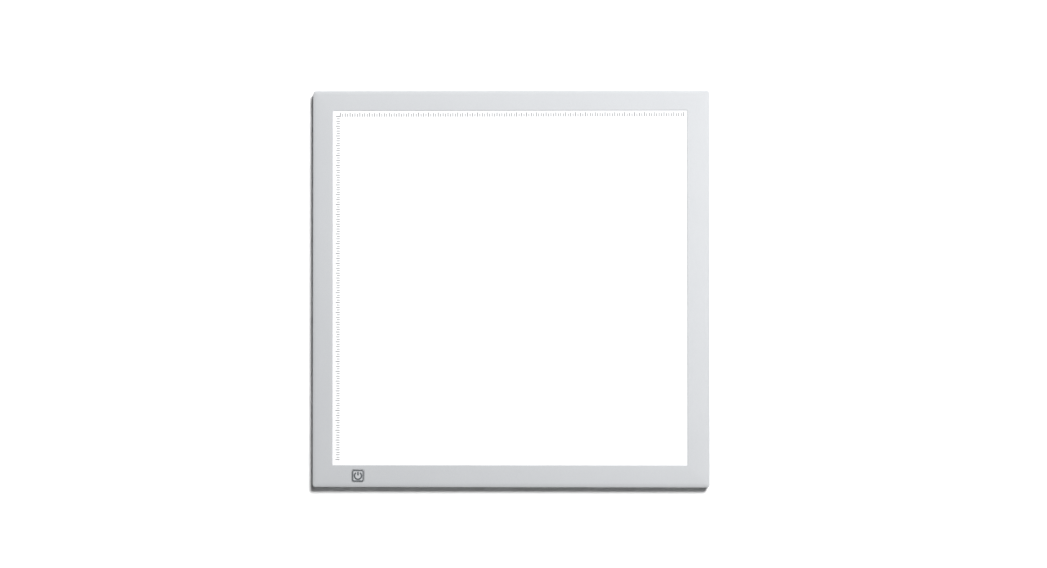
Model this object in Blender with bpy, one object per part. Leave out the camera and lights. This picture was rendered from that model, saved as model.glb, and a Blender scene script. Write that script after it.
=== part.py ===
"""Slim square LED light pad for tracing and drawing.

A moulded frame with a soft outer edge holds an opal acrylic drawing panel in its window. Under
the panel lie a diffuser film, an acrylic light guide lit from its left and right edges by two LED
strips, and a reflector film. A flat back cover on five rubber feet closes the pad from below.
The power key stands in the front bar, above a control board, and a lead runs round the inside of
the wall from the board to a DC jack in the rear wall.

Units are metres, +Z is up, +X is right and +Y is the rear. The origin is on the desk, under the
middle of the pad.
"""

import math

import bmesh
import bpy
from mathutils import Vector

# Housing
SIDE = 0.404
CORNER_RADIUS = 0.0026
WALL = 0.0018
WALL_BEVEL = 0.0007
WINDOW = 0.361
LEFT_BORDER = 0.0203
REAR_BORDER = 0.0206
EDGE_WIDTH = 0.0045
EDGE_DROP = 0.0010
EDGE_STEPS = 8
BAR_FALL = 0.0004
BAR_STEPS = 4
WINDOW_CHAMFER = 0.0002
INNER_RADIUS = 0.0005
CORNER_STEPS = 6

# The layers from the desk side up, each a clearance above the last
GAP = 0.0003
FOOT_RISE = 0.0015
LAYERS = {
    "cover": 0.0012,
    "reflector": 0.0002,
    "guide": 0.0025,
    "diffuser": 0.0002,
    "flange": 0.0014,
    "gasket": 0.0004,
    "lid": 0.0013,
}
PANEL_RECESS = 0.0005
PANEL_EDGE = 0.0002
FLANGE_REACH = 0.0035
GUIDE_REACH = 0.0030
GASKET_WIDTH = 0.0024

# LED strips and the rails behind them
STRIP_LENGTH = 0.358
STRIP_HEIGHT = 0.0043
STRIP_THICKNESS = 0.0008
LED_COUNT = 35
LED_PITCH = 0.010
LED_SIZE = (0.0008, 0.0030, 0.0016)
RAIL_THICKNESS = 0.0012
RAIL_HEIGHT = 0.0050

# Power key
KEY_FROM_LEFT = 0.0463
KEY_FROM_FRONT = 0.01155
KEY_HOLE = 0.0132
KEY_HOLE_RADIUS = 0.0026
KEY_CLEARANCE = 0.0004
KEY_PROUD = 0.0003
KEY_EDGE = 0.0003
KEY_TAB_WIDTH = 0.0170
KEY_TAB_THICKNESS = 0.0008
KEY_STEM = 0.0030
KEY_STEM_LENGTH = 0.0002

# Control board and what stands on it
BOARD_LEFT = 0.0200
BOARD_LENGTH = 0.074
BOARD_WIDTH = 0.0132
BOARD_THICKNESS = 0.0010
BOARD_LIFT = 0.0015
BOARD_WALL_GAP = 0.0007
SWITCH_SIDE = 0.0060
SWITCH_HEIGHT = 0.0015
SWITCH_FLOOR = 0.0002
PLUNGER_RADIUS = 0.0012
PLUNGER_DEPTH = 0.0008
PLUG_SIZE = (0.0060, 0.0038, 0.0028)

# DC jack in the rear wall
JACK_X = -0.150
JACK_SIZE = (0.0076, 0.0120, 0.0055)
JACK_BORE = 0.00215
JACK_BORE_DEPTH = 0.0090
JACK_PIN = 0.0008
JACK_PIN_LENGTH = 0.0078
JACK_HOLE = 0.0027

# Wires
WIRE_RADIUS = 0.0005
WIRE_PITCH = 0.0014
WIRE_BEND = 0.0050
WIRE_SHORT_BEND = 0.0030
WIRE_WALL_GAP = 0.0021
WIRE_BEND_STEPS = 5

# Fasteners and feet
BOSS_RADIUS = 0.0030
BOSS_INSET = 0.0090
BOSS_BORE = 0.00125
BOSS_BORE_DEPTH = 0.0039
PAD_RADIUS = 0.0042
PAD_RISE = 0.0009
HEAD_RADIUS = 0.0025
HEAD_HEIGHT = 0.0006
HEAD_SINK = 0.0002
SHANK_RADIUS = 0.00095
SHANK_LENGTH = 0.0051
CROSS_REACH = 0.0014
CROSS_HALF = 0.0003
CROSS_DEPTH = 0.0004
BOARD_BOSS_RADIUS = 0.0023
BOARD_SCREW_LENGTH = 0.0040
FOOT_RADIUS = 0.0060
FOOT_HEIGHT = 0.0017
FOOT_EDGE = 0.0004
FOOT_INSET = 0.032
ROUND_STEPS = 24
OVERLAP = 0.0004

# Places worked out from the sizes above
HALF = SIDE / 2
INNER = HALF - WALL
WINDOW_X = LEFT_BORDER - HALF + WINDOW / 2
WINDOW_Y = HALF - REAR_BORDER - WINDOW / 2
MEAN_BORDER = (SIDE - WINDOW) / 2


def stacked_levels():
    """The bottom and top height of each layer."""
    levels, low = {}, FOOT_RISE
    for name, thickness in LAYERS.items():
        levels[name] = (low, low + thickness)
        low += thickness + GAP
    return levels


LEVEL = stacked_levels()
TOP = LEVEL["lid"][1]
LID_UNDER = LEVEL["lid"][0]
COVER_TOP = LEVEL["cover"][1]
GUIDE_MIDDLE = sum(LEVEL["guide"]) / 2
BOARD_LOW = COVER_TOP + BOARD_LIFT
BOARD_TOP = BOARD_LOW + BOARD_THICKNESS
BOARD_Y = -INNER + BOARD_WALL_GAP + BOARD_WIDTH / 2
KEY_X = -HALF + KEY_FROM_LEFT
KEY_Y = -HALF + KEY_FROM_FRONT
LEAD_LINE = INNER - WIRE_WALL_GAP
PLUG_LOW = BOARD_TOP + GAP
WIRE_LOW = PLUG_LOW + 0.0007
BOARD_SCREWS = (-HALF + 0.0315, -HALF + 0.0820)


# Shapes ---------------------------------------------------------------------------------------


def clear_scene():
    for thing in list(bpy.data.objects):
        bpy.data.objects.remove(thing)


def material(name, colour, roughness, metallic=0.0):
    made = bpy.data.materials.new(name)
    made.use_nodes = True
    shader = made.node_tree.nodes["Principled BSDF"]
    shader.inputs["Base Color"].default_value = (*colour, 1.0)
    shader.inputs["Roughness"].default_value = roughness
    shader.inputs["Metallic"].default_value = metallic
    return made


def rectangle(width, depth, radius, centre=(0.0, 0.0)):
    """A rounded rectangle's outline, counter-clockwise from its right-hand front corner."""
    points = []
    for turn, (sx, sy) in enumerate(((1, -1), (1, 1), (-1, 1), (-1, -1))):
        x = centre[0] + sx * (width / 2 - radius)
        y = centre[1] + sy * (depth / 2 - radius)
        for step in range(CORNER_STEPS + 1):
            angle = math.radians(90) * (turn - 1 + step / CORNER_STEPS)
            points.append((x + radius * math.cos(angle), y + radius * math.sin(angle)))
    return points


def circle(radius, centre=(0.0, 0.0), steps=ROUND_STEPS):
    angles = (math.tau * step / steps for step in range(steps))
    return [(centre[0] + radius * math.cos(a), centre[1] + radius * math.sin(a)) for a in angles]


def at_height(outline, z):
    return [(x, y, z) for x, y in outline]


def add_loft(work, loops, ring=False):
    """Walls between outlines of equal length, capped at both ends or closed into a ring."""
    rows = [[work.verts.new(point) for point in loop] for loop in loops]
    count = len(rows[0])
    pairs = list(zip(rows, rows[1:]))
    if ring:
        pairs.append((rows[-1], rows[0]))
    else:
        work.faces.new(rows[0][::-1])
        work.faces.new(rows[-1])
    for low, high in pairs:
        for i in range(count):
            j = (i + 1) % count
            work.faces.new((low[i], low[j], high[j], high[i]))


def new_object(name, work, finish=None, location=(0.0, 0.0, 0.0), smooth=False):
    """An object made from a bmesh, which is freed."""
    bmesh.ops.recalc_face_normals(work, faces=work.faces)
    mesh = bpy.data.meshes.new(name)
    work.to_mesh(mesh)
    work.free()
    if smooth:
        mesh.shade_smooth()
        mesh.set_sharp_from_angle(angle=math.radians(35))
    if finish:
        mesh.materials.append(finish)
    return place(name, mesh, location)


def place(name, mesh, location):
    made = bpy.data.objects.new(name, mesh)
    made.location = location
    bpy.context.scene.collection.objects.link(made)
    return made


def loft(name, loops, finish=None, location=(0.0, 0.0, 0.0), ring=False, smooth=False):
    work = bmesh.new()
    add_loft(work, loops, ring)
    return new_object(name, work, finish, location, smooth)


def slab(name, low, high, finish):
    """A box between two corners, its origin at its middle."""
    middle = (Vector(low) + Vector(high)) / 2
    size = Vector(high) - Vector(low)
    outline = [(-size.x / 2, -size.y / 2), (size.x / 2, -size.y / 2)]
    outline += [(size.x / 2, size.y / 2), (-size.x / 2, size.y / 2)]
    loops = [at_height(outline, -size.z / 2), at_height(outline, size.z / 2)]
    return loft(name, loops, finish, middle)


def add_box(work, centre, size):
    x, y, z = centre
    corners = [(-1, -1), (1, -1), (1, 1), (-1, 1)]
    outline = [(x + sx * size[0] / 2, y + sy * size[1] / 2) for sx, sy in corners]
    add_loft(work, [at_height(outline, z - size[2] / 2), at_height(outline, z + size[2] / 2)])


def add_rod(work, centre, radius, low, high, steps=ROUND_STEPS):
    outline = circle(radius, centre, steps)
    add_loft(work, [at_height(outline, low), at_height(outline, high)])


def guide_shape(name, work):
    """A helper that shapes another object and is no piece of the pad."""
    made = new_object(name, work)
    made.hide_render = True
    made.display_type = "WIRE"
    return made


def shape_with(target, helper, operation):
    change = target.modifiers.new(helper.name, "BOOLEAN")
    change.operation = operation
    change.solver = "EXACT"
    change.object = helper


# Where the fasteners stand --------------------------------------------------------------------


def boss_places():
    """The middles of the eight screw bosses: the corners and the middle of each side."""
    reach = HALF - BOSS_INSET
    steps = (-1, 0, 1)
    return [(sx * reach, sy * reach) for sx in steps for sy in steps if sx or sy]


def foot_places():
    reach = HALF - FOOT_INSET
    return {
        "foot_front_left": (-reach, -reach),
        "foot_front_right": (reach, -reach),
        "foot_rear_left": (-reach, reach),
        "foot_rear_right": (reach, reach),
        "foot_centre": (0.0, 0.0),
    }


# Housing --------------------------------------------------------------------------------------


def outer_loop(inset, z):
    radius = max(CORNER_RADIUS - inset, INNER_RADIUS)
    return at_height(rectangle(SIDE - 2 * inset, SIDE - 2 * inset, radius), z)


def window_loop(grow, z):
    side = WINDOW + 2 * grow
    radius = INNER_RADIUS + max(grow, 0)
    return at_height(rectangle(side, side, radius, (WINDOW_X, WINDOW_Y)), z)


def crown_height(inset):
    """The height of the frame's top by distance from its outer edge.

    A gentle arch reaches across the bar to the window, with a quarter ellipse added at the edge.
    """
    arch = BAR_FALL * (1 - inset / MEAN_BORDER) ** 2
    beyond = max(1 - inset / EDGE_WIDTH, 0)
    return TOP - arch - EDGE_DROP * (1 - math.sqrt(1 - beyond**2))


def bar_loop(share):
    """An outline part of the way from the crown's inner edge to the window's edge."""
    outer = outer_loop(EDGE_WIDTH, 0)
    inner = window_loop(WINDOW_CHAMFER, 0)
    z = crown_height(EDGE_WIDTH + share * (MEAN_BORDER - EDGE_WIDTH))
    points = []
    for (x0, y0, _), (x1, y1, _) in zip(outer, inner):
        points.append((x0 + share * (x1 - x0), y0 + share * (y1 - y0), z))
    return points


def top_frame(finish):
    """The moulded frame: skirt, soft outer edge, arched bars and window, in one ring."""
    loops = [outer_loop(0, FOOT_RISE)]
    for step in range(EDGE_STEPS + 1):
        angle = math.radians(90) * step / EDGE_STEPS
        inset = EDGE_WIDTH * (1 - math.cos(angle))
        loops.append(outer_loop(inset, crown_height(inset)))
    loops += [bar_loop(step / BAR_STEPS) for step in range(1, BAR_STEPS + 1)]
    loops.append(window_loop(0, TOP - WINDOW_CHAMFER))
    loops.append(window_loop(0, LID_UNDER))
    loops.append(outer_loop(WALL + WALL_BEVEL, LID_UNDER))
    loops.append(outer_loop(WALL, LID_UNDER - WALL_BEVEL))
    loops.append(outer_loop(WALL, FOOT_RISE))
    frame = loft("top_frame", loops, finish, ring=True, smooth=True)
    shape_with(frame, frame_bosses(), "UNION")
    shape_with(frame, frame_openings(), "DIFFERENCE")


def frame_bosses():
    work = bmesh.new()
    low = COVER_TOP + PAD_RISE + GAP
    for centre in boss_places():
        add_rod(work, centre, BOSS_RADIUS, low, LID_UNDER + OVERLAP)
    for x in BOARD_SCREWS:
        low = BOARD_TOP + GAP
        add_rod(work, (x, BOARD_Y), BOARD_BOSS_RADIUS, low, LID_UNDER + OVERLAP)
    return guide_shape("frame_bosses", work)


def frame_openings():
    """The boss bores, the key's hole and the jack's hole."""
    work = bmesh.new()
    low = COVER_TOP
    for centre in boss_places():
        top = COVER_TOP + PAD_RISE + GAP + BOSS_BORE_DEPTH
        add_rod(work, centre, BOSS_BORE, low, top, 16)
    for x in BOARD_SCREWS:
        add_rod(work, (x, BOARD_Y), BOSS_BORE, BOARD_TOP, LID_UNDER - GAP, 16)
    hole = rectangle(KEY_HOLE, KEY_HOLE, KEY_HOLE_RADIUS, (KEY_X, KEY_Y))
    add_loft(work, [at_height(hole, LID_UNDER - OVERLAP), at_height(hole, TOP + OVERLAP)])
    jack = [(JACK_X + x, jack_middle() + z) for x, z in circle(JACK_HOLE)]
    ends = (HALF + OVERLAP, INNER - OVERLAP)
    add_loft(work, [[(x, y, z) for x, z in jack] for y in ends])
    return guide_shape("frame_openings", work)


def back_cover(finish):
    """The flat cover inside the skirt, with raised screw pads and sunk places for the feet."""
    side = 2 * (INNER - GAP)
    outline = rectangle(side, side, CORNER_RADIUS - WALL)
    loops = [at_height(outline, FOOT_RISE), at_height(outline, COVER_TOP)]
    cover = loft("back_cover", loops, finish)
    pads, holes = bmesh.new(), bmesh.new()
    for centre in boss_places():
        add_rod(pads, centre, PAD_RADIUS, COVER_TOP - OVERLAP, COVER_TOP + PAD_RISE)
        head_top = FOOT_RISE + HEAD_SINK + HEAD_HEIGHT + GAP
        add_rod(holes, centre, HEAD_RADIUS + GAP, FOOT_RISE - OVERLAP, head_top)
    for centre in foot_places().values():
        ceiling = FOOT_HEIGHT + GAP
        add_rod(holes, centre, FOOT_RADIUS + GAP, FOOT_RISE - OVERLAP, ceiling)
    bores = bmesh.new()
    for centre in boss_places():
        bore = SHANK_RADIUS + GAP + 0.0001
        add_rod(bores, centre, bore, FOOT_RISE - OVERLAP, COVER_TOP + PAD_RISE + OVERLAP, 16)
    shape_with(cover, guide_shape("cover_pads", pads), "UNION")
    shape_with(cover, guide_shape("cover_recesses", holes), "DIFFERENCE")
    shape_with(cover, guide_shape("cover_bores", bores), "DIFFERENCE")


def feet(finish):
    outlines = ((FOOT_RADIUS - FOOT_EDGE, 0), (FOOT_RADIUS, FOOT_EDGE), (FOOT_RADIUS, FOOT_HEIGHT))
    loops = [at_height(circle(radius), z) for radius, z in outlines]
    mesh = None
    for name, (x, y) in foot_places().items():
        if mesh is None:
            mesh = loft(name, loops, finish, (x, y, 0), smooth=True).data
        else:
            place(name, mesh, (x, y, 0))


# Screws ---------------------------------------------------------------------------------------


def cross_outline(reach, half):
    """A plus sign with a point between each two corners, counter-clockwise from +X."""
    middle = (reach + half) / 2
    quarter = [(reach, 0), (reach, half), (middle, half), (half, half), (half, middle)]
    quarter.append((half, reach))
    points = []
    for turn in range(4):
        for x, y in quarter:
            for _ in range(turn):
                x, y = -y, x
            points.append((x, y))
    return points


def screw_mesh(name, shank_length, finish):
    """A pan-head screw pointing up, its head's face at z = 0 with a cross recess in it."""
    cross = cross_outline(CROSS_REACH, CROSS_HALF)
    angles = [math.atan2(y, x) for x, y in cross]

    def ring(radius, z):
        return [(radius * math.cos(a), radius * math.sin(a), z) for a in angles]

    loops = [
        at_height(cross, CROSS_DEPTH),
        at_height(cross, 0),
        ring(HEAD_RADIUS * 0.9, 0),
        ring(HEAD_RADIUS, HEAD_HEIGHT * 0.4),
        ring(HEAD_RADIUS, HEAD_HEIGHT),
        ring(SHANK_RADIUS, HEAD_HEIGHT),
        ring(SHANK_RADIUS, HEAD_HEIGHT + shank_length - SHANK_RADIUS / 2),
        ring(SHANK_RADIUS / 2, HEAD_HEIGHT + shank_length),
    ]
    screw = loft(name, loops, finish, smooth=True)
    mesh = screw.data
    bpy.data.objects.remove(screw)
    return mesh


def screws(finish):
    mesh = screw_mesh("cover_screw", SHANK_LENGTH, finish)
    for number, (x, y) in enumerate(boss_places(), start=1):
        place(f"cover_screw_{number}", mesh, (x, y, FOOT_RISE + HEAD_SINK))
    mesh = screw_mesh("board_screw", BOARD_SCREW_LENGTH, finish)
    for number, x in enumerate(BOARD_SCREWS, start=1):
        place(f"board_screw_{number}", mesh, (x, BOARD_Y, BOARD_LOW - GAP - HEAD_HEIGHT))


# The lit layers -------------------------------------------------------------------------------


def drawing_panel(finish):
    """Opal acrylic, rebated all round so that its middle rises through the window."""
    low, high = LEVEL["flange"]
    top = TOP - PANEL_RECESS
    loops = [
        window_loop(FLANGE_REACH, low),
        window_loop(FLANGE_REACH, high),
        window_loop(-GAP, high),
        window_loop(-GAP, top - PANEL_EDGE),
        window_loop(-GAP - PANEL_EDGE, top),
    ]
    loft("drawing_panel", loops, finish)


def panel_gasket(finish):
    """A foam ring between the panel's flange and the frame."""
    outer = FLANGE_REACH - GAP
    low, high = LEVEL["gasket"]
    inner = outer - GASKET_WIDTH
    loops = [
        window_loop(outer, low),
        window_loop(outer, high),
        window_loop(inner, high),
        window_loop(inner, low),
    ]
    loft("panel_gasket", loops, finish, ring=True)


def lit_layer(name, level, finish):
    low, high = LEVEL[level]
    loft(name, [window_loop(GUIDE_REACH, low), window_loop(GUIDE_REACH, high)], finish)


def led_strip(name, side, finish):
    """A narrow board on edge with its LEDs facing the light guide. side is -1 left, 1 right."""
    edge = WINDOW / 2 + GUIDE_REACH + GAP
    board_x = edge + LED_SIZE[0] + STRIP_THICKNESS / 2
    low = LEVEL["reflector"][0] + 2 * GAP
    middle = low + STRIP_HEIGHT / 2
    work = bmesh.new()
    add_box(work, (0, 0, 0), (STRIP_THICKNESS, STRIP_LENGTH, STRIP_HEIGHT))
    strip = new_object(name, work, finish, (WINDOW_X + side * board_x, WINDOW_Y, middle))
    leds = bmesh.new()
    for number in range(LED_COUNT):
        y = WINDOW_Y + (number - (LED_COUNT - 1) / 2) * LED_PITCH
        depth = LED_SIZE[0] + STRIP_THICKNESS / 2
        x = WINDOW_X + side * (edge + depth / 2)
        add_box(leds, (x, y, GUIDE_MIDDLE), (depth, LED_SIZE[1], LED_SIZE[2]))
    shape_with(strip, guide_shape(f"{name}_leds", leds), "UNION")


def heat_rail(name, side, finish):
    """A flat aluminium bar that carries the heat away from its LED strip."""
    back = WINDOW / 2 + GUIDE_REACH + GAP + LED_SIZE[0] + STRIP_THICKNESS
    near = WINDOW_X + side * (back + GAP)
    far = WINDOW_X + side * (back + GAP + RAIL_THICKNESS)
    low = COVER_TOP + 2 * GAP
    half = STRIP_LENGTH / 2
    corner = (min(near, far), WINDOW_Y - half, low)
    slab(name, corner, (max(near, far), WINDOW_Y + half, low + RAIL_HEIGHT), finish)


# Power key and its switch ---------------------------------------------------------------------


def power_key(finish, plunger_finish):
    """The key cap and the switch's plunger, which are pressed down together."""
    axis = bpy.data.objects.new("key_axis", None)
    axis.location = (KEY_X, KEY_Y, TOP)
    bpy.context.scene.collection.objects.link(axis)
    side = KEY_HOLE - 2 * KEY_CLEARANCE
    radius = KEY_HOLE_RADIUS - KEY_CLEARANCE
    face = KEY_PROUD
    tab_top = LID_UNDER - GAP - TOP
    tab_low = tab_top - KEY_TAB_THICKNESS
    stem_low = tab_low - KEY_STEM_LENGTH
    body = rectangle(side, side, radius)
    tabs = rectangle(KEY_TAB_WIDTH, side, radius)
    stem = rectangle(KEY_STEM, KEY_STEM, KEY_STEM / 4)
    crown = rectangle(side - 2 * KEY_EDGE, side - 2 * KEY_EDGE, radius - KEY_EDGE)
    heights = ((stem, stem_low), (stem, tab_low), (tabs, tab_low), (tabs, tab_top))
    heights += ((body, tab_top), (body, face - KEY_EDGE), (crown, face))
    loops = [at_height(outline, z) for outline, z in heights]
    key = loft("power_key", loops, finish, smooth=True)
    key.parent = axis
    plunger_top = stem_low - GAP
    plunger_low = BOARD_TOP + GAP + SWITCH_HEIGHT - PLUNGER_DEPTH - TOP
    outline = circle(PLUNGER_RADIUS, steps=16)
    loops = [at_height(outline, plunger_low), at_height(outline, plunger_top)]
    plunger = loft("switch_plunger", loops, plunger_finish, smooth=True)
    plunger.parent = axis


def tact_switch(finish):
    """The switch's body, with a blind hole that its plunger sinks into."""
    low = BOARD_TOP + GAP
    outline = rectangle(SWITCH_SIDE, SWITCH_SIDE, INNER_RADIUS)
    loops = [at_height(outline, 0), at_height(outline, SWITCH_HEIGHT)]
    switch = loft("tact_switch", loops, finish, (KEY_X, KEY_Y, low))
    work = bmesh.new()
    floor = low + SWITCH_FLOOR
    top = low + SWITCH_HEIGHT + OVERLAP
    add_rod(work, (KEY_X, KEY_Y), PLUNGER_RADIUS + GAP, floor, top)
    shape_with(switch, guide_shape("switch_hole", work), "DIFFERENCE")


# Control board --------------------------------------------------------------------------------


def control_board(finish):
    """The driver board with its chips and coil, screwed under the front bar."""
    left = -HALF + BOARD_LEFT
    size = (BOARD_LENGTH, BOARD_WIDTH, BOARD_THICKNESS)
    work = bmesh.new()
    add_box(work, (0, 0, 0), size)
    middle = (left + BOARD_LENGTH / 2, BOARD_Y, BOARD_LOW + BOARD_THICKNESS / 2)
    board = new_object("control_board", work, finish, middle)
    shape_with(board, board_components(left), "UNION")
    holes = bmesh.new()
    for x in BOARD_SCREWS:
        bore = SHANK_RADIUS + GAP
        low, high = BOARD_LOW - OVERLAP, BOARD_TOP + OVERLAP
        add_rod(holes, (x, BOARD_Y), bore, low, high, 16)
    shape_with(board, guide_shape("board_holes", holes), "DIFFERENCE")


def board_components(left):
    """Chips, coil and capacitor as offsets from the board's left end and middle line."""
    chips = (
        (0.0400, 0.0010, 0.0050, 0.0062, 0.0015),
        (0.0495, -0.0006, 0.0062, 0.0062, 0.0026),
        (0.0440, -0.0045, 0.0030, 0.0016, 0.0010),
        (0.0362, -0.0042, 0.0020, 0.0012, 0.0008),
        (0.0550, 0.0040, 0.0024, 0.0030, 0.0012),
        (0.0160, 0.0035, 0.0020, 0.0012, 0.0008),
    )
    work = bmesh.new()
    for x, y, length, width, height in chips:
        z = BOARD_TOP + (height - OVERLAP) / 2
        add_box(work, (left + x, BOARD_Y + y, z), (length, width, height + OVERLAP))
    return guide_shape("board_components", work)


def plug(name, x, y, finish):
    """A wire housing on the board, from its left-hand end."""
    half = PLUG_SIZE[1] / 2
    low = (x, y - half, PLUG_LOW)
    slab(name, low, (x + PLUG_SIZE[0], y + half, PLUG_LOW + PLUG_SIZE[2]), finish)


def plug_places():
    """The left-hand end and middle line of each plug on the board."""
    left = -HALF + BOARD_LEFT
    margin = PLUG_SIZE[1] / 2 + 0.0001
    front = BOARD_Y - BOARD_WIDTH / 2 + margin
    rear = BOARD_Y + BOARD_WIDTH / 2 - margin
    return {
        "power_plug": (left + 0.0015, front),
        "left_strip_plug": (left + 0.0015, rear),
        "right_strip_plug": (left + BOARD_LENGTH - 0.0005 - PLUG_SIZE[0], front),
    }


# DC jack --------------------------------------------------------------------------------------


def jack_middle():
    """The height of the jack's bore."""
    return COVER_TOP + GAP + JACK_SIZE[2] / 2


def turned_along_y(outline, ys):
    """Outlines in X and Z at successive depths, for a part that lies along Y."""
    return [[(JACK_X + x, y, jack_middle() + z) for x, z in outline] for y in ys]


def dc_jack(body_finish, pin_finish):
    """The jack's body behind its hole in the rear wall, and its centre pin."""
    front = INNER - GAP
    width, length, height = JACK_SIZE
    low = (JACK_X - width / 2, front - length, COVER_TOP + GAP)
    jack = slab("dc_jack", low, (JACK_X + width / 2, front, low[2] + height), body_finish)
    bore = bmesh.new()
    back = front - JACK_BORE_DEPTH
    add_loft(bore, turned_along_y(circle(JACK_BORE), (front + OVERLAP, back)))
    shape_with(jack, guide_shape("jack_bore", bore), "DIFFERENCE")
    ys = (back + GAP + JACK_PIN_LENGTH, back + GAP)
    loops = turned_along_y(circle(JACK_PIN, steps=16), ys)
    loft("jack_pin", loops, pin_finish, smooth=True)


# Wires ----------------------------------------------------------------------------------------


def rounded_route(corners, bend):
    """A route's corners, each turned into an arc of the bend's radius."""
    points = [corners[0]]
    for before, corner, after in zip(corners, corners[1:], corners[2:]):
        back = (before - corner).normalized()
        on = (after - corner).normalized()
        half = back.angle(on) / 2
        reach = bend / math.tan(half)
        centre = corner + (back + on).normalized() * (bend / math.sin(half))
        start = corner + back * reach - centre
        finish = corner + on * reach - centre
        sweep = start.angle(finish)
        for step in range(WIRE_BEND_STEPS + 1):
            share = step / WIRE_BEND_STEPS
            a = math.sin((1 - share) * sweep) / math.sin(sweep)
            b = math.sin(share * sweep) / math.sin(sweep)
            points.append(centre + start * a + finish * b)
    points.append(corners[-1])
    return points


def wire(name, corners, bend, finish):
    curve = bpy.data.curves.new(name, "CURVE")
    curve.dimensions = "3D"
    curve.bevel_depth = WIRE_RADIUS
    curve.bevel_resolution = 2
    curve.use_fill_caps = True
    points = rounded_route([Vector(corner) for corner in corners], bend)
    spline = curve.splines.new("POLY")
    spline.points.add(len(points) - 1)
    for knot, point in zip(spline.points, points):
        knot.co = (*point, 1.0)
    curve.materials.append(finish)
    place(name, curve, (0, 0, 0))


def strip_end(side, level):
    """Where a wire meets the front end of a strip's board."""
    edge = WINDOW / 2 + GUIDE_REACH + GAP + LED_SIZE[0] + STRIP_THICKNESS / 2
    z = LEVEL["reflector"][0] + 0.0021 + level * WIRE_PITCH
    return (WINDOW_X + side * edge, WINDOW_Y - STRIP_LENGTH / 2 - GAP, z)


def wires(red, black):
    """Each lead is two wires, one above the other."""
    plugs = plug_places()
    end = PLUG_SIZE[0] + GAP
    for level, (colour, finish) in enumerate((("red", red), ("black", black))):
        z = WIRE_LOW + level * WIRE_PITCH
        x, y = plugs["power_plug"]
        jack_side = JACK_X - JACK_SIZE[0] / 2 - GAP
        jack_y = INNER - 0.0085
        route = [
            (x - GAP, y, z),
            (-LEAD_LINE, y, z),
            (-LEAD_LINE, LEAD_LINE, z),
            (JACK_X - 0.026, LEAD_LINE, z),
            (JACK_X - 0.014, jack_y, z),
            (jack_side, jack_y, z),
        ]
        wire(f"jack_lead_{colour}", route, WIRE_BEND, finish)
        x, y = plugs["left_strip_plug"]
        tip = strip_end(-1, level)
        route = [(x - GAP, y, z), (tip[0], y, z), tip]
        wire(f"left_lead_{colour}", route, WIRE_SHORT_BEND, finish)
        x, y = plugs["right_strip_plug"]
        tip = strip_end(1, level)
        route = [(x + end, y, z), (tip[0] - 0.012, y, z), (tip[0], y + 0.010, z), tip]
        wire(f"right_lead_{colour}", route, WIRE_BEND, finish)


# The whole pad --------------------------------------------------------------------------------


def main():
    clear_scene()
    silver = material("silver_paint", (0.62, 0.63, 0.65), 0.38, 0.35)
    opal = material("opal_acrylic", (0.93, 0.94, 0.95), 0.35)
    clear = material("clear_acrylic", (0.86, 0.92, 0.93), 0.08)
    film = material("white_film", (0.90, 0.90, 0.90), 0.55)
    foam = material("black_foam", (0.03, 0.03, 0.03), 0.95)
    grey = material("grey_plastic", (0.20, 0.21, 0.22), 0.60)
    rubber = material("rubber", (0.02, 0.02, 0.02), 0.90)
    steel = material("zinc_steel", (0.60, 0.60, 0.58), 0.35, 1.0)
    aluminium = material("aluminium", (0.75, 0.76, 0.78), 0.40, 1.0)
    strip = material("strip_board", (0.85, 0.86, 0.84), 0.45)
    board = material("green_board", (0.02, 0.16, 0.07), 0.45)
    black = material("black_plastic", (0.02, 0.02, 0.02), 0.45)
    white = material("white_nylon", (0.80, 0.79, 0.74), 0.55)
    brass = material("tinned_brass", (0.70, 0.62, 0.42), 0.30, 1.0)
    red_wire = material("red_wire", (0.55, 0.02, 0.02), 0.50)
    black_wire = material("black_wire", (0.02, 0.02, 0.02), 0.50)

    top_frame(silver)
    drawing_panel(opal)
    panel_gasket(foam)
    lit_layer("diffuser_film", "diffuser", film)
    lit_layer("light_guide", "guide", clear)
    lit_layer("reflector_film", "reflector", film)
    for name, side in (("left", -1), ("right", 1)):
        led_strip(f"{name}_led_strip", side, strip)
        heat_rail(f"{name}_heat_rail", side, aluminium)
    power_key(silver, black)
    tact_switch(black)
    control_board(board)
    for name, (x, y) in plug_places().items():
        plug(name, x, y, white)
    dc_jack(black, brass)
    wires(red_wire, black_wire)
    back_cover(grey)
    screws(steel)
    feet(rubber)


main()
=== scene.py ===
"""Looks of the slim LED light pad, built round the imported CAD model.

The frame, panel, key, cover, feet, screws and jack are rebuilt here as finished meshes on the CAD's
own places. The pieces inside the housing keep their CAD meshes and get a material each.
Units are metres, +Z is up, +X is right and +Y is the rear, as in the CAD.
"""

import math

import bmesh
import bpy
from mathutils import Matrix, Vector


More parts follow.
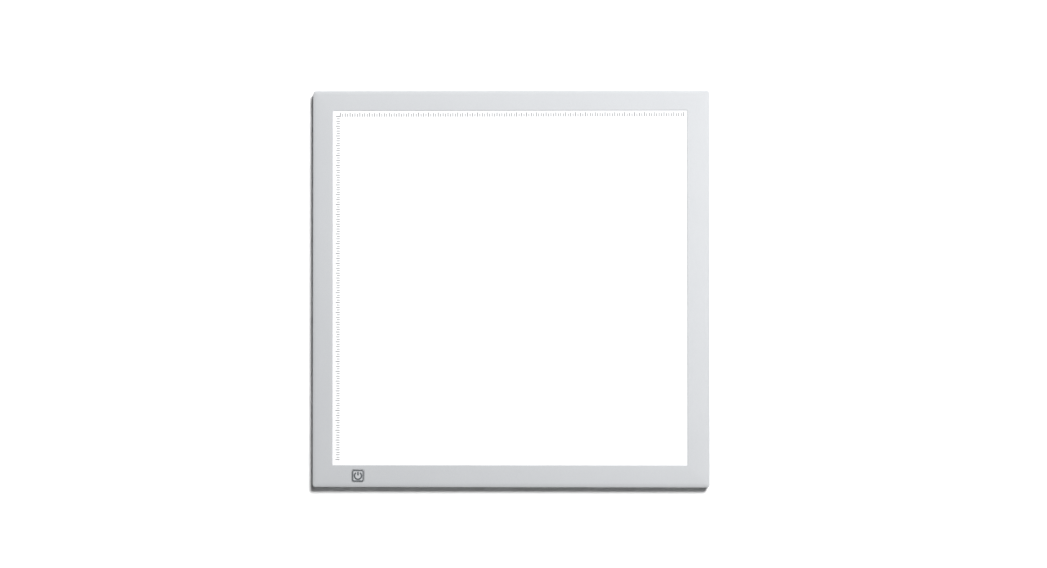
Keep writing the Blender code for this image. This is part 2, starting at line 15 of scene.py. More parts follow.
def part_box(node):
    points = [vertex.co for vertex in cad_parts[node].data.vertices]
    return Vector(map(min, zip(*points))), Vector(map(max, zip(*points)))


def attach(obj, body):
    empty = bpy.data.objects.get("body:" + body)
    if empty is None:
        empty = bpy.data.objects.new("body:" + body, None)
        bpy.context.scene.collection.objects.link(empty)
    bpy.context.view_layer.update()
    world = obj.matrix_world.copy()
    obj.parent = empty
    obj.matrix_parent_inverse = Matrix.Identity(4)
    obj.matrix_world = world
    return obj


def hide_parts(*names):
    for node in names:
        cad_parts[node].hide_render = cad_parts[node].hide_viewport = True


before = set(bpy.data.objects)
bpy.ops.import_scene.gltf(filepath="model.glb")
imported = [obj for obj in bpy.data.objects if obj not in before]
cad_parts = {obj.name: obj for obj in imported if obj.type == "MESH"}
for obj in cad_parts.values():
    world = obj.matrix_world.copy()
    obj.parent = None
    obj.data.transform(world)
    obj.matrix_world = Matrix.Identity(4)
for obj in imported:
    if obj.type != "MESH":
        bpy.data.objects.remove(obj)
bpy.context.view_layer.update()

# Clearance between pieces, and how finely they are rounded
GAP = 0.0003
SHARP_ANGLE = math.radians(32)
CORNER_STEPS = 14
SMALL_CORNER_STEPS = 8
ROUND_STEPS = 48
EDGE_STEPS = 5

# How far a cutter stands out in front of the face that it opens, and behind its back
CUTTER_FRONT = 0.0003
CUTTER_BACK = 0.0005

# Housing, as in the CAD
FRAME_LOW, FRAME_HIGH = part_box("top_frame")
HALF = FRAME_HIGH.x
TOP = FRAME_HIGH.z
SKIRT_LOW = FRAME_LOW.z
WALL = 0.0018
WALL_BEVEL = 0.0007
INNER = HALF - WALL
CORNER_RADIUS = 0.0026
EDGE_WIDTH = 0.0045
EDGE_DROP = 0.0010
BAR_FALL = 0.0004
LID = 0.0013
LID_UNDER = TOP - LID
PANEL_LOW, PANEL_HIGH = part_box("drawing_panel")
WINDOW = 0.361
WINDOW_X = (PANEL_LOW.x + PANEL_HIGH.x) / 2
WINDOW_Y = (PANEL_LOW.y + PANEL_HIGH.y) / 2
MEAN_BORDER = HALF - WINDOW / 2
INNER_RADIUS = 0.0005
BOSS_INSET = 0.0090
BOSS_RADIUS = 0.0030
BOSS_BORE = 0.00125
BOSS_LOW = 0.0039
BOSS_OVERLAP = 0.0002
BOSS_SIDES = 24
BOARD_BOSS_RADIUS = 0.0023
BOARD_BOSS_LOW = 0.0055

# Finish of the moulded edges
CROWN_STEPS = 20
CROWN_SWEEP = 0.90
FILLET_RADIUS = 0.0002
FILLET_TURN = math.radians(61)
FILLET_STEPS = 5
BAR_STEPS = 16
FLAT_MARGIN = 0.0003
RUBBED_WIDTH = 0.0030
LIP_RADIUS = 0.0005
LIP_STEPS = 4
SKIRT_CHAMFER = 0.00025

# Panel and printed rulers
FLANGE_TOP = 0.0082
PANEL_EDGE = 0.0004
INK = 0.000012
MARKS_PER_CENTIMETRE = 4
RULER_STEP = 0.01 / MARKS_PER_CENTIMETRE
RULER_CENTIMETRES = 35

# Length and width of the rulers' marks: at 10 mm, at 5 mm and between them
LONG_MARK = (0.0042, 0.00068)
MIDDLE_MARK = (0.0036, 0.00064)
SHORT_MARK = (0.0031, 0.00060)

# Where each ruler's first mark stands, and the lines that the marks go outwards from
RULER_START = (WINDOW_X - WINDOW / 2 + 0.0075, WINDOW_Y + WINDOW / 2 - 0.0056)
RULER_BASE = (WINDOW_X - WINDOW / 2 + 0.0071, WINDOW_Y + WINDOW / 2 - 0.0060)

# Power key
KEY_LOW, KEY_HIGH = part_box("power_key")
KEY_X = (KEY_LOW.x + KEY_HIGH.x) / 2
KEY_Y = (KEY_LOW.y + KEY_HIGH.y) / 2
KEY_HOLE = 0.0132
KEY_HOLE_RADIUS = 0.0026
KEY_SIDE = 0.0124
KEY_RADIUS = 0.0022
KEY_TAB = 0.0008
KEY_TAB_TOP = LID_UNDER - GAP
KEY_TAB_LOW = KEY_TAB_TOP - KEY_TAB
KEY_STEM = 0.0030
KEY_ROUND = 0.00025
KEY_FLAT_MARGIN = 0.0002
KEY_HOLE_CHAMFER = 0.00018

# The print on the key: an outline, and the power sign's ring and bar
OUTLINE_MARGIN = 0.00005
OUTLINE_WIDTH = 0.00125
SIGN_STROKE = 0.0015
SIGN_RADIUS = 0.0036
SIGN_OPENING = math.radians(33)
SIGN_BAR_START = 0.0004
SIGN_BAR_END = 0.0040

# Cover
COVER_LOW, COVER_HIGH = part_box("back_cover")
COVER_TOP = 0.0027
COVER_CHAMFER = 0.0002
COVER_CUTTER = 0.001
PAD_RADIUS = 0.0042
PAD_ROOT = 0.0004
GROOVE_HALVES = (0.1835, 0.1800)
GROOVE_RADIUS = 0.008
GROOVE_WIDTH = 0.0010
GROOVE_DEPTH = 0.00025

# Screws
HEAD_RADIUS = 0.0025
HEAD_HEIGHT = 0.0006
HEAD_ROUND = 0.00028
HEAD_FLAT = 0.72
HEAD_SINK = 0.0011
HEAD_SINK_STEPS = 32
SHANK_RADIUS = 0.00095
SHANK_BORE = 0.00135
SHANK_BORE_STEPS = 24
CROSS_REACH = 0.0014
CROSS_HALF = 0.0003
CROSS_DEPTH = 0.0004
CROSS_FLOOR = 0.6
CROSS_MOUTH = 1.05
CROSS_CHAMFER = 0.00003
CROSS_PARTS = 4
THREAD_PITCH = 0.0005
THREAD_ROOT = 0.82
THREAD_START = 0.0002
THREAD_END = 0.0008

# Feet
FOOT_RADIUS = 0.0060
FOOT_HEIGHT = 0.0017
FOOT_ROUND = 0.0005
SOLE_CENTRE = 0.0004
SOLE_GROOVE = (0.0037, 0.0043)
SOLE_GROOVE_DEPTH = 0.00025
SOLE_CHAMFER = 0.0001

# DC jack
JACK_LOW, JACK_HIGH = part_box("dc_jack")
JACK_X = (JACK_LOW.x + JACK_HIGH.x) / 2
JACK_Z = (JACK_LOW.z + JACK_HIGH.z) / 2
JACK_CORNER = 0.0005
JACK_FRONT_CHAMFER = 0.0003
JACK_REAR_CHAMFER = 0.0002
JACK_BORE = 0.00215
JACK_BORE_DEPTH = 0.0090
JACK_HOLE = 0.0027
JACK_HOLE_SINK = 0.00035
PIN_STEPS = 6
PIN_TIP = 0.05

# Floor
FLOOR_SIDE = 24
FLOOR_RADIUS = 8

# Places of the mix node's sockets for colours
MIX_FACTOR, MIX_FIRST, MIX_SECOND, MIX_RESULT = 0, 6, 7, 2


# Mesh helpers ---------------------------------------------------------------------------------


def rectangle(width, depth, radius, centre=(0.0, 0.0), steps=CORNER_STEPS):
    """A rounded rectangle's outline, counter-clockwise from its right-hand front corner."""
    points = []
    for turn, (sx, sy) in enumerate(((1, -1), (1, 1), (-1, 1), (-1, -1))):
        x = centre[0] + sx * (width / 2 - radius)
        y = centre[1] + sy * (depth / 2 - radius)
        for step in range(steps + 1):
            angle = math.radians(90) * (turn - 1 + step / steps)
            points.append((x + radius * math.cos(angle), y + radius * math.sin(angle)))
    return points


def circle(radius, centre=(0.0, 0.0), steps=ROUND_STEPS):
    angles = (math.tau * step / steps for step in range(steps))
    return [(centre[0] + radius * math.cos(a), centre[1] + radius * math.sin(a)) for a in angles]


def at_height(outline, z):
    return [(x, y, z) for x, y in outline]


def quarter(radius, steps):
    """Offsets along a quarter round, from the start of its bend to its end."""
    angles = (math.radians(90) * step / steps for step in range(steps + 1))
    return [(radius * (1 - math.cos(a)), radius * math.sin(a)) for a in angles]


def add_loft(work, loops, ring=False):
    """Walls between outlines of equal length, capped at both ends or closed into a ring."""
    rows = [[work.verts.new(point) for point in loop] for loop in loops]
    count = len(rows[0])
    pairs = list(zip(rows, rows[1:]))
    if ring:
        pairs.append((rows[-1], rows[0]))
    else:
        work.faces.new(rows[0][::-1])
        work.faces.new(rows[-1])
    for low, high in pairs:
        for i in range(count):
            j = (i + 1) % count
            work.faces.new((low[i], low[j], high[j], high[i]))


def add_turned(work, profile, centre, steps=ROUND_STEPS):
    """A turned solid round a line along Z, from (radius, height) points, with flat ends."""
    add_loft(work, [at_height(circle(radius, centre, steps), z) for radius, z in profile])


def add_box(work, low, high):
    outline = [(low[0], low[1]), (high[0], low[1]), (high[0], high[1]), (low[0], high[1])]
    add_loft(work, [at_height(outline, low[2]), at_height(outline, high[2])])


def mesh_object(name, work):
    bmesh.ops.recalc_face_normals(work, faces=work.faces)
    mesh = bpy.data.meshes.new(name)
    work.to_mesh(mesh)
    work.free()
    made = bpy.data.objects.new(name, mesh)
    bpy.context.scene.collection.objects.link(made)
    return made


def cut(target, work, operation="DIFFERENCE"):
    """Shapes the target with a helper solid, and leaves a plain mesh."""
    helper = mesh_object("helper", work)
    change = target.modifiers.new("shape", "BOOLEAN")
    change.operation = operation
    change.solver = "EXACT"
    change.object = helper
    view = bpy.context.evaluated_depsgraph_get()
    mesh = bpy.data.meshes.new_from_object(target.evaluated_get(view))
    target.modifiers.clear()
    target.data = mesh
    bpy.data.objects.remove(helper)


def finish_piece(made, look, body, stands_for=()):
    """Smooth shading with sharp corners, a material, a body and the nodes it replaces."""
    mesh = made.data
    mesh.materials.clear()
    mesh.materials.append(look)
    mesh.shade_smooth()
    mesh.set_sharp_from_angle(angle=SHARP_ANGLE)
    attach(made, body)
    if stands_for:
        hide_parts(*stands_for)


# Material helpers -----------------------------------------------------------------------------


def add(tree, kind, inputs=None, **settings):
    """A node with its settings, and its inputs as values or as sockets to link."""
    made = tree.nodes.new(kind)
    for name, value in settings.items():
        setattr(made, name, value)
    for name, value in (inputs or {}).items():
        socket = made.inputs[name]
        if isinstance(value, bpy.types.NodeSocket):
            tree.links.new(value, socket)
        else:
            socket.default_value = value
    return made


def coordinates(tree, stretch=None):
    """Places on the object in metres, or stretched along its axes."""
    places = add(tree, "ShaderNodeTexCoord").outputs["Object"]
    if stretch is None:
        return places
    return add(tree, "ShaderNodeMapping", {"Vector": places, "Scale": stretch}).outputs["Vector"]


def noise(tree, size, detail, stretch=None):
    """Noise whose grains are about that size."""
    inputs = {"Vector": coordinates(tree, stretch), "Scale": 1 / size, "Detail": detail}
    return add(tree, "ShaderNodeTexNoise", inputs).outputs["Fac"]


def spread(tree, source, low, high, start=0.3, end=0.7):
    """A source between start and end, spread from low to high."""
    inputs = {"Value": source, "From Min": start, "From Max": end, "To Min": low, "To Max": high}
    return add(tree, "ShaderNodeMapRange", inputs).outputs["Result"]


def math_node(tree, operation, *values):
    made = add(tree, "ShaderNodeMath", operation=operation)
    for socket, value in zip(made.inputs, values):
        if isinstance(value, bpy.types.NodeSocket):
            tree.links.new(value, socket)
        else:
            socket.default_value = value
    return made.outputs["Value"]


def blend_colours(tree, factor, first, second):
    """Two colours or colour sockets, mixed by a factor.

    The node's sockets for numbers, vectors and colours share their names, so they are taken by
    their places.
    """
    made = add(tree, "ShaderNodeMix", data_type="RGBA")
    for place, value in ((MIX_FACTOR, factor), (MIX_FIRST, first), (MIX_SECOND, second)):
        if isinstance(value, bpy.types.NodeSocket):
            tree.links.new(value, made.inputs[place])
        else:
            made.inputs[place].default_value = (*value, 1.0)
    return made.outputs[MIX_RESULT]


def relief(tree, source, depth, strength=1.0, under=None):
    """A bump of that depth, on top of another bump if one is given."""
    inputs = {"Height": source, "Distance": depth, "Strength": strength}
    if under is not None:
        inputs["Normal"] = under
    return add(tree, "ShaderNodeBump", inputs).outputs["Normal"]


def new_material(name):
    made = bpy.data.materials.new(name)
    made.use_nodes = True
    return made, made.node_tree, made.node_tree.nodes["Principled BSDF"]


def connect(tree, shader, **sockets):
    """Links sockets to the shader's inputs, whose names are given with _ for a space."""
    for name, value in sockets.items():
        socket = shader.inputs[name.replace("_", " ")]
        if isinstance(value, bpy.types.NodeSocket):
            tree.links.new(value, socket)
        else:
            socket.default_value = value


def grained(name, dark, light, grain, rough, depth, metallic=0.0, stretch=None):
    """A two-tone grain with matching roughness and relief: most of the plain materials.

    The grain is its size, rough the lowest and highest roughness, and depth that of the relief.
    """
    made, tree, shader = new_material(name)
    fine = noise(tree, size=grain, detail=3.0, stretch=stretch)
    broad = noise(tree, size=grain * 30, detail=2.0)
    tone = spread(tree, math_node(tree, "ADD", fine, broad), 0.0, 1.0, 0.7, 1.3)
    colour = blend_colours(tree, tone, dark, light)
    roughness = spread(tree, broad, rough[0], rough[1])
    connect(tree, shader, Base_Color=colour, Roughness=roughness, Metallic=metallic)
    connect(tree, shader, Normal=relief(tree, fine, depth))
    return made


# Materials ------------------------------------------------------------------------------------


def edge_mask(tree):
    """1 on the outermost edge of the pad, fading out over a few millimetres."""
    places = add(tree, "ShaderNodeSeparateXYZ", {"Vector": coordinates(tree)}).outputs
    reach_x = math_node(tree, "ABSOLUTE", places["X"])
    reach_y = math_node(tree, "ABSOLUTE", places["Y"])
    reach = math_node(tree, "MAXIMUM", reach_x, reach_y)
    return spread(tree, reach, 0.0, 1.0, HALF - RUBBED_WIDTH, HALF)


def silver_paint(name):
    """Silver paint with fine flakes, a slight orange peel, hairline scuffs and rubbed edges."""
    made, tree, shader = new_material(name)
    flakes = noise(tree, size=0.00022, detail=2.0)
    cloud = noise(tree, size=0.045, detail=3.0)
    peel = noise(tree, size=0.0011, detail=1.5)
    scuffs = noise(tree, size=0.0007, detail=4.0, stretch=(1.0, 0.03, 1.0))
    patches = spread(tree, noise(tree, size=0.004, detail=4.0), 0.0, 0.4, 0.5, 0.7)
    rub = math_node(tree, "MULTIPLY", edge_mask(tree), patches)
    sparkle = spread(tree, flakes, 0.0, 1.0)
    colour = blend_colours(tree, sparkle, (0.536, 0.548, 0.565), (0.624, 0.636, 0.651))
    colour = blend_colours(tree, spread(tree, cloud, 0.0, 0.10), colour, (0.480, 0.499, 0.524))
    colour = blend_colours(tree, rub, colour, (0.64, 0.645, 0.65))
    dull = spread(tree, scuffs, 0.0, 0.09, 0.55, 0.75)
    roughness = math_node(tree, "ADD", spread(tree, peel, 0.37, 0.43), dull)
    bump = relief(tree, peel, depth=0.000006, strength=0.6)
    bump = relief(tree, flakes, depth=0.000003, strength=0.5, under=bump)
    connect(tree, shader, Base_Color=colour, Roughness=roughness, Metallic=0.3, Normal=bump)
    return made


def opal_acrylic(name):
    """Satin opal acrylic lit from below, a little dimmer in a slow cloud."""
    made, tree, shader = new_material(name)
    satin = noise(tree, size=0.0009, detail=3.0)
    cloud = noise(tree, size=0.09, detail=1.0)
    colour = blend_colours(tree, satin, (0.15, 0.153, 0.156), (0.19, 0.193, 0.196))
    roughness = spread(tree, satin, 0.30, 0.42)
    glow = spread(tree, cloud, 0.85, 0.88)
    bump = relief(tree, satin, depth=0.000004, strength=0.5)
    connect(tree, shader, Base_Color=colour, Roughness=roughness, Normal=bump)
    connect(tree, shader, Emission_Color=(0.985, 0.992, 1.0, 1.0), Emission_Strength=glow)
    return made


def textured_plastic(name, dark, light):
    """Plastic from a spark-eroded mould: a pebbled surface with soft grain."""
    made, tree, shader = new_material(name)
    inputs = {"Vector": coordinates(tree), "Scale": 1 / 0.0006, "Smoothness": 0.8}
    pebbles = add(tree, "ShaderNodeTexVoronoi", inputs, feature="SMOOTH_F1").outputs["Distance"]
    fine = noise(tree, size=0.0002, detail=3.0)
    cloud = noise(tree, size=0.03, detail=3.0)
    tone = spread(tree, math_node(tree, "ADD", fine, cloud), 0.0, 1.0, 0.7, 1.3)
    colour = blend_colours(tree, tone, dark, light)
    bump = relief(tree, pebbles, depth=0.00003, strength=0.5)
    bump = relief(tree, fine, depth=0.000005, strength=0.5, under=bump)
    roughness = spread(tree, cloud, 0.52, 0.66)
    connect(tree, shader, Base_Color=colour, Roughness=roughness, Normal=bump)
    return made


def closed_cell_foam(name):
    made, tree, shader = new_material(name)
    inputs = {"Vector": coordinates(tree), "Scale": 1 / 0.0003}
    cells = add(tree, "ShaderNodeTexVoronoi", inputs).outputs["Distance"]
    colour = blend_colours(tree, cells, (0.012, 0.012, 0.013), (0.05, 0.05, 0.052))
    roughness = spread(tree, cells, 0.85, 0.98, 0.0, 1.0)
    bump = relief(tree, cells, depth=0.00008, strength=0.7)
    connect(tree, shader, Base_Color=colour, Roughness=roughness, Normal=bump)
    return made


def clear_acrylic(name):
    """Clear acrylic with the fine dots that throw its light upwards."""
    made, tree, shader = new_material(name)
    inputs = {"Vector": coordinates(tree), "Scale": 1 / 0.0015, "Randomness": 0.2}
    dots = add(tree, "ShaderNodeTexVoronoi", inputs).outputs["Distance"]
    spots = spread(tree, dots, 1.0, 0.0, 0.18, 0.24)
    colour = blend_colours(tree, spots, (0.86, 0.93, 0.94), (0.97, 0.97, 0.97))
    roughness = spread(tree, spots, 0.06, 0.55, 0.0, 1.0)
    connect(tree, shader, Base_Color=colour, Roughness=roughness)
    connect(tree, shader, IOR=1.49, Transmission_Weight=0.85)
    return made


def circuit_board(name, mask, track):
    """Solder mask over copper tracks that run along the board, with fine dark specks."""
    made, tree, shader = new_material(name)
    lanes = noise(tree, size=0.0016, detail=1.0, stretch=(0.15, 1.0, 1.0))
    speckle = noise(tree, size=0.0002, detail=2.0)
    tracks = spread(tree, lanes, 0.0, 1.0, 0.50, 0.53)
    colour = blend_colours(tree, tracks, mask, track)
    colour = blend_colours(tree, spread(tree, speckle, 0.0, 0.2), colour, (0.02, 0.05, 0.03))
    roughness = spread(tree, speckle, 0.28, 0.4)
    bump = relief(tree, tracks, depth=0.00003, strength=0.8)
    connect(tree, shader, Base_Color=colour, Roughness=roughness, Normal=bump)
    return made


def printed_ink(name, dark, light):
    return grained(name, dark, light, grain=0.00012, rough=(0.50, 0.65), depth=0.000003)


def bare_metal(name, dark, light, rough, depth=0.000006, stretch=None):
    return grained(name, dark, light, 0.0002, rough, depth, metallic=1.0, stretch=stretch)


def insulation(name, dark, light):
    return grained(name, dark, light, grain=0.0003, rough=(0.38, 0.52), depth=0.000006)


def make_materials():
    """Every material, by the name that the build functions know it by."""
    return {
        "silver": silver_paint("silver_paint"),
        "opal": opal_acrylic("opal_acrylic"),
        "ruler_ink": printed_ink("ruler_ink", (0.05, 0.05, 0.055), (0.12, 0.12, 0.13)),
        "key_ink": printed_ink("key_ink", (0.055, 0.062, 0.070), (0.095, 0.103, 0.112)),
        "cover": textured_plastic("grey_cover", (0.165, 0.172, 0.180), (0.225, 0.232, 0.240)),
        "black": textured_plastic("black_plastic", (0.014, 0.014, 0.015), (0.032, 0.032, 0.034)),
        "rubber": grained(
            "rubber", (0.012, 0.012, 0.012), (0.034, 0.034, 0.034), 0.0003, (0.75, 0.92), 0.00002
        ),
        "zinc": bare_metal("zinc_steel", (0.50, 0.50, 0.47), (0.68, 0.68, 0.64), (0.24, 0.42)),
        "brass": bare_metal(
            "tinned_brass", (0.62, 0.55, 0.38), (0.78, 0.72, 0.55), (0.20, 0.34), 0.000004
        ),
        "aluminium": bare_metal(
            "drawn_aluminium",
            (0.66, 0.67, 0.68),
            (0.80, 0.81, 0.83),
            rough=(0.28, 0.42),
            stretch=(1.0, 0.02, 1.0),
        ),
        "film": grained(
            "white_film", (0.84, 0.84, 0.84), (0.92, 0.92, 0.92), 0.0004, (0.50, 0.62), 0.000004
        ),
        "foam": closed_cell_foam("closed_cell_foam"),
        "guide": clear_acrylic("clear_guide"),
        "strip": circuit_board("strip_board", (0.80, 0.81, 0.79), (0.87, 0.88, 0.85)),
        "board": circuit_board("green_board", (0.012, 0.12, 0.05), (0.03, 0.22, 0.09)),
        "nylon": grained(
            "natural_nylon", (0.74, 0.73, 0.67), (0.84, 0.83, 0.78), 0.0003, (0.45, 0.60), 0.000008
        ),
        "red": insulation("red_insulation", (0.42, 0.012, 0.012), (0.62, 0.03, 0.03)),
        "dark": insulation("black_insulation", (0.012, 0.012, 0.012), (0.03, 0.03, 0.03)),
    }


# Housing --------------------------------------------------------------------------------------


def outer_loop(inset, z):
    radius = max(CORNER_RADIUS - inset, INNER_RADIUS)
    return at_height(rectangle(2 * (HALF - inset), 2 * (HALF - inset), radius), z)


def window_loop(grow, z):
    side = WINDOW + 2 * grow
    radius = INNER_RADIUS + max(grow, 0)
    return at_height(rectangle(side, side, radius, (WINDOW_X, WINDOW_Y)), z)


def crown_height(inset):
    """The height of the frame's top by distance from its outer edge."""
    arch = BAR_FALL * (1 - inset / MEAN_BORDER) ** 2
    beyond = CROWN_SWEEP * max(1 - inset / EDGE_WIDTH, 0)
    return TOP - arch - EDGE_DROP / CROWN_SWEEP * (1 - math.sqrt(1 - beyond**2))


def bar_loop(share):
    """An outline part of the way from the crown's inner edge to the window's lip."""
    outer = outer_loop(EDGE_WIDTH, 0)
    inner = window_loop(LIP_RADIUS, 0)
    z = crown_height(EDGE_WIDTH + share * (MEAN_BORDER - EDGE_WIDTH))
    points = []
    for (x0, y0, _), (x1, y1, _) in zip(outer, inner):
        points.append((x0 + share * (x1 - x0), y0 + share * (y1 - y0), z))
    return points


def along_y(outline, y):
    """An outline round the jack's middle line, at a distance along it."""
    return [(JACK_X + x, y, JACK_Z + z) for x, z in outline]


def boss_places():
    """The middles of the cover's eight screws: the corners and the middle of each side."""
    reach = HALF - BOSS_INSET
    steps = (-1, 0, 1)
    return [(sx * reach, sy * reach) for sx in steps for sy in steps if sx or sy]


def node_names(part_of_name):
    return [name for name in sorted(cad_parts) if part_of_name in name]


def node_middle(name):
    """The middle of a node, seen from above."""
    low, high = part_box(name)
    return (low.x + high.x) / 2, (low.y + high.y) / 2


def frame_loops():
    """Round the frame's section: skirt, crown, arched bar, window lip, inside of the wall."""
    loops = [outer_loop(SKIRT_CHAMFER, SKIRT_LOW), outer_loop(0, SKIRT_LOW + SKIRT_CHAMFER)]
    start = FILLET_RADIUS * (1 - math.cos(FILLET_TURN))
    rise = FILLET_RADIUS * math.sin(FILLET_TURN)
    for step in range(FILLET_STEPS):
        angle = FILLET_TURN * step / FILLET_STEPS
        inset, height = FILLET_RADIUS * (1 - math.cos(angle)), FILLET_RADIUS * math.sin(angle)
        loops.append(outer_loop(inset, crown_height(start) - rise + height))
    for step in range(CROWN_STEPS + 1):
        angle = math.radians(90) * step / CROWN_STEPS
        inset = start + (EDGE_WIDTH - start) * (1 - math.cos(angle))
        loops.append(outer_loop(inset, crown_height(inset)))
    loops += [bar_loop(step / BAR_STEPS) for step in range(1, BAR_STEPS)]
    loops.append(window_loop(LIP_RADIUS + FLAT_MARGIN, TOP))
    for drop, inward in quarter(LIP_RADIUS, LIP_STEPS):
        loops.append(window_loop(LIP_RADIUS - inward, TOP - drop))
    loops.append(window_loop(0, LID_UNDER))
    loops.append(outer_loop(WALL + WALL_BEVEL, LID_UNDER))
    loops.append(outer_loop(WALL, LID_UNDER - WALL_BEVEL))
    loops.append(outer_loop(WALL, SKIRT_LOW + SKIRT_CHAMFER))
    loops.append(outer_loop(WALL - SKIRT_CHAMFER, SKIRT_LOW))
    return loops


def key_opening():
    """The key's hole, with a small chamfer at its top."""
    work = bmesh.new()
    stages = (
        (0, LID_UNDER - CUTTER_BACK),
        (0, TOP - KEY_HOLE_CHAMFER),
        (KEY_HOLE_CHAMFER + CUTTER_FRONT, TOP + CUTTER_FRONT),
    )
    loops = []
    for grow, z in stages:
        side = KEY_HOLE + 2 * grow
        loops.append(at_height(rectangle(side, side, KEY_HOLE_RADIUS + grow, (KEY_X, KEY_Y)), z))
    add_loft(work, loops)
    return work


def jack_opening():
    """The hole in the rear wall, with a countersink towards the outside."""
    work = bmesh.new()
    stages = (
        (0, INNER - CUTTER_BACK),
        (0, HALF - JACK_HOLE_SINK),
        (JACK_HOLE_SINK + CUTTER_FRONT, HALF + CUTTER_FRONT),
    )
    add_loft(work, [along_y(circle(JACK_HOLE + grow), y) for grow, y in stages])
    return work


def inner_bosses():
    """Tubes for the cover's screws and the board's, under the lid."""
    work = bmesh.new()
    tubes = [(centre, BOSS_RADIUS, BOSS_LOW) for centre in boss_places()]
    for name in node_names("board_screw_"):
        tubes.append((node_middle(name), BOARD_BOSS_RADIUS, BOARD_BOSS_LOW))
    high = LID_UNDER + BOSS_OVERLAP
    for centre, radius, low in tubes:
        profile = ((radius, low), (radius, high), (BOSS_BORE, high), (BOSS_BORE, low))
        loops = [at_height(circle(reach, centre, BOSS_SIDES), z) for reach, z in profile]
        add_loft(work, loops, ring=True)
    return work


def build_frame(look):
    work = bmesh.new()
    add_loft(work, frame_loops(), ring=True)
    shell = mesh_object("frame_shell", work)
    cut(shell, inner_bosses(), "UNION")
    cut(shell, key_opening())
    cut(shell, jack_opening())
    finish_piece(shell, look, "housing", ("top_frame",))


def build_panel(look):
    """The panel's flange, its raised middle and the rounded edge round its top."""
    low, high = PANEL_LOW.z, PANEL_HIGH.z
    reach = (PANEL_HIGH.x - PANEL_LOW.x - WINDOW) / 2
    loops = [window_loop(reach, low), window_loop(reach, FLANGE_TOP), window_loop(-GAP, FLANGE_TOP)]
    for drop, inward in quarter(PANEL_EDGE, EDGE_STEPS):
        loops.append(window_loop(-GAP - drop, high - PANEL_EDGE + inward))
    loops.append(window_loop(-GAP - PANEL_EDGE - FLAT_MARGIN, high))
    work = bmesh.new()
    add_loft(work, loops)
    finish_piece(mesh_object("lit_panel", work), look, "housing", ("drawing_panel",))


# Printed rulers -------------------------------------------------------------------------------


def mark_size(number):
    """Length and width of a ruler's mark by its number, counted from the rulers' start."""
    if number % MARKS_PER_CENTIMETRE == 0:
        return LONG_MARK
    if number % (MARKS_PER_CENTIMETRE // 2) == 0:
        return MIDDLE_MARK
    return SHORT_MARK


def build_rulers(look):
    """Rulers along the panel's rear and left edges, both from the corner where they meet."""
    low, high = PANEL_HIGH.z - INK, PANEL_HIGH.z + INK
    rear, left = bmesh.new(), bmesh.new()
    base_x, base_y = RULER_BASE
    for number in range(RULER_CENTIMETRES * MARKS_PER_CENTIMETRE + 1):
        length, width = mark_size(number)
        x = RULER_START[0] + number * RULER_STEP
        y = RULER_START[1] - number * RULER_STEP
        add_box(rear, (x - width / 2, base_y, low), (x + width / 2, base_y + length, high))
        add_box(left, (base_x - length, y - width / 2, low), (base_x, y + width / 2, high))
    for name, work in (("rear_ruler", rear), ("left_ruler", left)):
        finish_piece(mesh_object(name, work), look, "housing")


# Power key ------------------------------------------------------------------------------------


def key_outline(side, radius):
    return rectangle(side, side, radius, (KEY_X, KEY_Y), SMALL_CORNER_STEPS)


def key_loop(side, radius, z):
    return at_height(key_outline(side, radius), z)


def build_key(look):
    """The cap with its rounded rim, the two retaining tabs and the stem under it."""
    face = KEY_HIGH.z - INK
    reach = KEY_HIGH.x - KEY_LOW.x
    tabs = rectangle(reach, KEY_SIDE, KEY_RADIUS, (KEY_X, KEY_Y), SMALL_CORNER_STEPS)
    loops = [
        key_loop(KEY_STEM, KEY_STEM / 4, KEY_LOW.z),
        key_loop(KEY_STEM, KEY_STEM / 4, KEY_TAB_LOW),
        at_height(tabs, KEY_TAB_LOW),
        at_height(tabs, KEY_TAB_TOP),
        key_loop(KEY_SIDE, KEY_RADIUS, KEY_TAB_TOP),
    ]
    for inward, rise in quarter(KEY_ROUND, EDGE_STEPS):
        loops.append(key_loop(KEY_SIDE - 2 * inward, KEY_RADIUS - inward, face - KEY_ROUND + rise))
    inset = KEY_ROUND + KEY_FLAT_MARGIN
    loops.append(key_loop(KEY_SIDE - 2 * inset, KEY_RADIUS - inset, face))
    work = bmesh.new()
    add_loft(work, loops)
    finish_piece(mesh_object("key_cap", work), look, "key", ("power_key",))


def add_band(work, outside, inside, low, high):
    """A flat closed band between two outlines of equal length."""
    heights = ((outside, low), (outside, high), (inside, high), (inside, low))
    add_loft(work, [at_height(outline, z) for outline, z in heights], ring=True)


def add_arc(work, centre, radius, width, start, end, low, high):
    """A flat closed arc with square ends."""
    outline = []
    for r, first, last in ((radius + width / 2, start, end), (radius - width / 2, end, start)):
        for step in range(ROUND_STEPS + 1):
            angle = first + (last - first) * step / ROUND_STEPS
            outline.append((centre[0] + r * math.cos(angle), centre[1] + r * math.sin(angle)))
    rows = [[work.verts.new((x, y, z)) for x, y in outline] for z in (low, high)]
    count = len(outline)
    for i in range(count):
        j = (i + 1) % count
        work.faces.new((rows[0][i], rows[0][j], rows[1][j], rows[1][i]))
    for row in rows:
        for i in range(ROUND_STEPS):
            work.faces.new((row[i], row[i + 1], row[count - 2 - i], row[count - 1 - i]))


